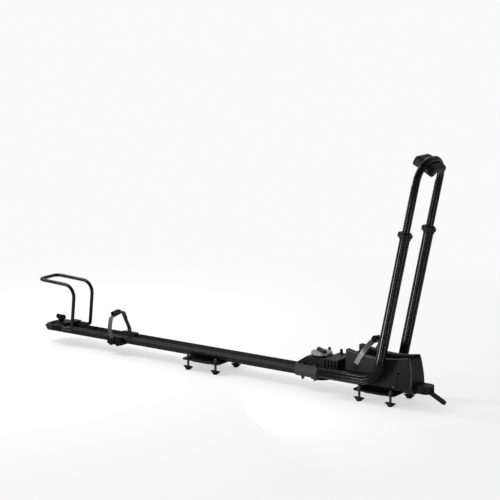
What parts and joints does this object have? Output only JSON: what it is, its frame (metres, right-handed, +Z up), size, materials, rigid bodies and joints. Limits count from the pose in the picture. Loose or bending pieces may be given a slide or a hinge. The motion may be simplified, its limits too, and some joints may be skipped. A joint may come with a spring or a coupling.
{
  "type": "roof bike carrier",
  "caption": "Roof mounted upright bike carrier: grooved wheel rail on crossbar clamp plates, tall telescoping wheel arms with a tyre pad, wheel chock, rear hoop and straps.",
  "frame": {"origin": "centre of the underside of the front crossbar pad", "axes": "+X to the front of the car along the rail, +Y to the car's left across the rail, +Z up"},
  "size_m": [1.5831, 0.177, 0.7646],
  "materials": {
    "rail_black": "satin black anodised extrusion",
    "black_steel": "black powder coat",
    "gloss_tube": "gloss black paint",
    "matte_black": "matte moulded plastic",
    "grey_plastic": "matte moulded plastic",
    "dial_grey": "satin plastic",
    "steel": "dark zinc plate",
    "pad_rubber": "matte rubber",
    "strap_grey": "ribbed soft plastic band"
  },
  "bodies": {
    "base": {"rail": "rail_black", "rear_end_cap": "matte_black", "front_nose": "matte_black", "rear_cradle": "black_steel", "front_cradle": "black_steel", "rear_plate": "black_steel", "front_plate": "black_steel", "rear_pad": "pad_rubber", "front_pad": "pad_rubber", "plate_screws": "steel", "clamp_studs": "steel", "stud_nuts": "steel", "chock": "matte_black", "chock_screws": "steel", "front_strap": "strap_grey", "strap_feet": "matte_black", "front_buckle": "matte_black", "lever_pin": "steel"},
    "front_buckle_lever": {"front_buckle_lever": "matte_black"},
    "end_lever": {"end_lever": "matte_black"},
    "carriage": {"head_saddle": "grey_plastic", "head_casing": "matte_black", "pivot_housing": "matte_black", "housing_posts": "matte_black", "head_bolts": "steel", "head_nuts": "steel", "clamp_disc": "black_steel", "pivot_pin": "steel"},
    "dial": {"dial_skirt": "matte_black", "dial_disc": "dial_grey", "dial_grip": "matte_black", "dial_bolt": "steel"},
    "arms": {"near_arm": "gloss_tube", "far_arm": "gloss_tube", "near_arm_plug": "matte_black", "far_arm_plug": "matte_black", "near_collar": "matte_black", "far_collar": "matte_black"},
    "near_release": {"near_release": "matte_black"},
    "far_release": {"far_release": "matte_black"},
    "hoop": {"hoop_tube": "gloss_tube", "ratchet_strips": "matte_black", "tyre_pad": "pad_rubber", "pad_screws": "steel"},
    "rear_hoop_carriage": {"hoop_base": "matte_black", "rear_hoop": "black_steel", "hoop_stud": "steel"},
    "hoop_knob": {"hoop_knob": "matte_black"},
    "strap_carriage": {"strap_base": "matte_black", "rear_strap": "strap_grey", "rear_buckle": "matte_black"},
    "rear_buckle_lever": {"rear_buckle_lever": "matte_black"},
    "wing_nut_1": {"wing_nut_1": "matte_black"},
    "wing_nut_2": {"wing_nut_2": "matte_black"},
    "wing_nut_3": {"wing_nut_3": "matte_black"},
    "wing_nut_4": {"wing_nut_4": "matte_black"},
    "wing_nut_5": {"wing_nut_5": "matte_black"},
    "wing_nut_6": {"wing_nut_6": "matte_black"},
    "wing_nut_7": {"wing_nut_7": "matte_black"},
    "wing_nut_8": {"wing_nut_8": "matte_black"}
  },
  "joints": [
    {"name": "carriage_slide", "type": "slide", "parent": "base", "child": "carriage", "axis": [1, 0, 0], "range_m": [-0.08, 0]},
    {"name": "arm_fold", "type": "hinge", "parent": "carriage", "child": "arms", "pos_m": [-0.165, 0, 0.042], "axis": [0, -1, 0], "range_deg": [0, 101]},
    {"name": "hoop_extend", "type": "slide", "parent": "arms", "child": "hoop", "axis": [0.1994, 0, 0.9799], "range_m": [-0.06, 0.12]},
    {"name": "dial_turn", "type": "hinge", "parent": "carriage", "child": "dial", "pos_m": [-0.228, 0, 0.085], "axis": [0, 0, 1], "continuous": true},
    {"name": "near_release_press", "type": "slide", "parent": "arms", "child": "near_release", "axis": [0.9799, 0, -0.1994], "range_m": [0, 0.002], "stiffness_N_per_m": 600, "springref_m": -0.002},
    {"name": "far_release_press", "type": "slide", "parent": "arms", "child": "far_release", "axis": [0.9799, 0, -0.1994], "range_m": [0, 0.002], "stiffness_N_per_m": 600, "springref_m": -0.002},
    {"name": "rear_hoop_slide", "type": "slide", "parent": "base", "child": "rear_hoop_carriage", "axis": [1, 0, 0], "range_m": [-0.01, 0.08]},
    {"name": "knob_turn", "type": "hinge", "parent": "rear_hoop_carriage", "child": "hoop_knob", "pos_m": [-1.308, 0, 0.055], "axis": [0, 0, 1], "continuous": true},
    {"name": "rear_strap_slide", "type": "slide", "parent": "base", "child": "strap_carriage", "axis": [1, 0, 0], "range_m": [-0.05, 0.1]},
    {"name": "rear_buckle_lift", "type": "hinge", "parent": "strap_carriage", "child": "rear_buckle_lever", "pos_m": [-1.041, -0.03124, 0.10865], "axis": [1, 0, 0], "range_deg": [0, 110]},
    {"name": "front_buckle_lift", "type": "hinge", "parent": "base", "child": "front_buckle_lever", "pos_m": [-0.02521, -0.015, 0.15986], "axis": [0.8572, 0, -0.515], "range_deg": [0, 110]},
    {"name": "end_lever_lift", "type": "hinge", "parent": "base", "child": "end_lever", "pos_m": [0.157, 0, 0.018], "axis": [0, -1, 0], "range_deg": [0, 35]},
    {"name": "wing_nut_1_turn", "type": "hinge", "parent": "base", "child": "wing_nut_1", "pos_m": [-0.709, -0.057, -0.025], "axis": [0, 0, 1], "continuous": true},
    {"name": "wing_nut_2_turn", "type": "hinge", "parent": "base", "child": "wing_nut_2", "pos_m": [-0.599, -0.057, -0.025], "axis": [0, 0, 1], "continuous": true},
    {"name": "wing_nut_3_turn", "type": "hinge", "parent": "base", "child": "wing_nut_3", "pos_m": [-0.709, 0.057, -0.025], "axis": [0, 0, 1], "continuous": true},
    {"name": "wing_nut_4_turn", "type": "hinge", "parent": "base", "child": "wing_nut_4", "pos_m": [-0.599, 0.057, -0.025], "axis": [0, 0, 1], "continuous": true},
    {"name": "wing_nut_5_turn", "type": "hinge", "parent": "base", "child": "wing_nut_5", "pos_m": [-0.055, -0.057, -0.025], "axis": [0, 0, 1], "continuous": true},
    {"name": "wing_nut_6_turn", "type": "hinge", "parent": "base", "child": "wing_nut_6", "pos_m": [0.055, -0.057, -0.025], "axis": [0, 0, 1], "continuous": true},
    {"name": "wing_nut_7_turn", "type": "hinge", "parent": "base", "child": "wing_nut_7", "pos_m": [-0.055, 0.057, -0.025], "axis": [0, 0, 1], "continuous": true},
    {"name": "wing_nut_8_turn", "type": "hinge", "parent": "base", "child": "wing_nut_8", "pos_m": [0.055, 0.057, -0.025], "axis": [0, 0, 1], "continuous": true}
  ]
}
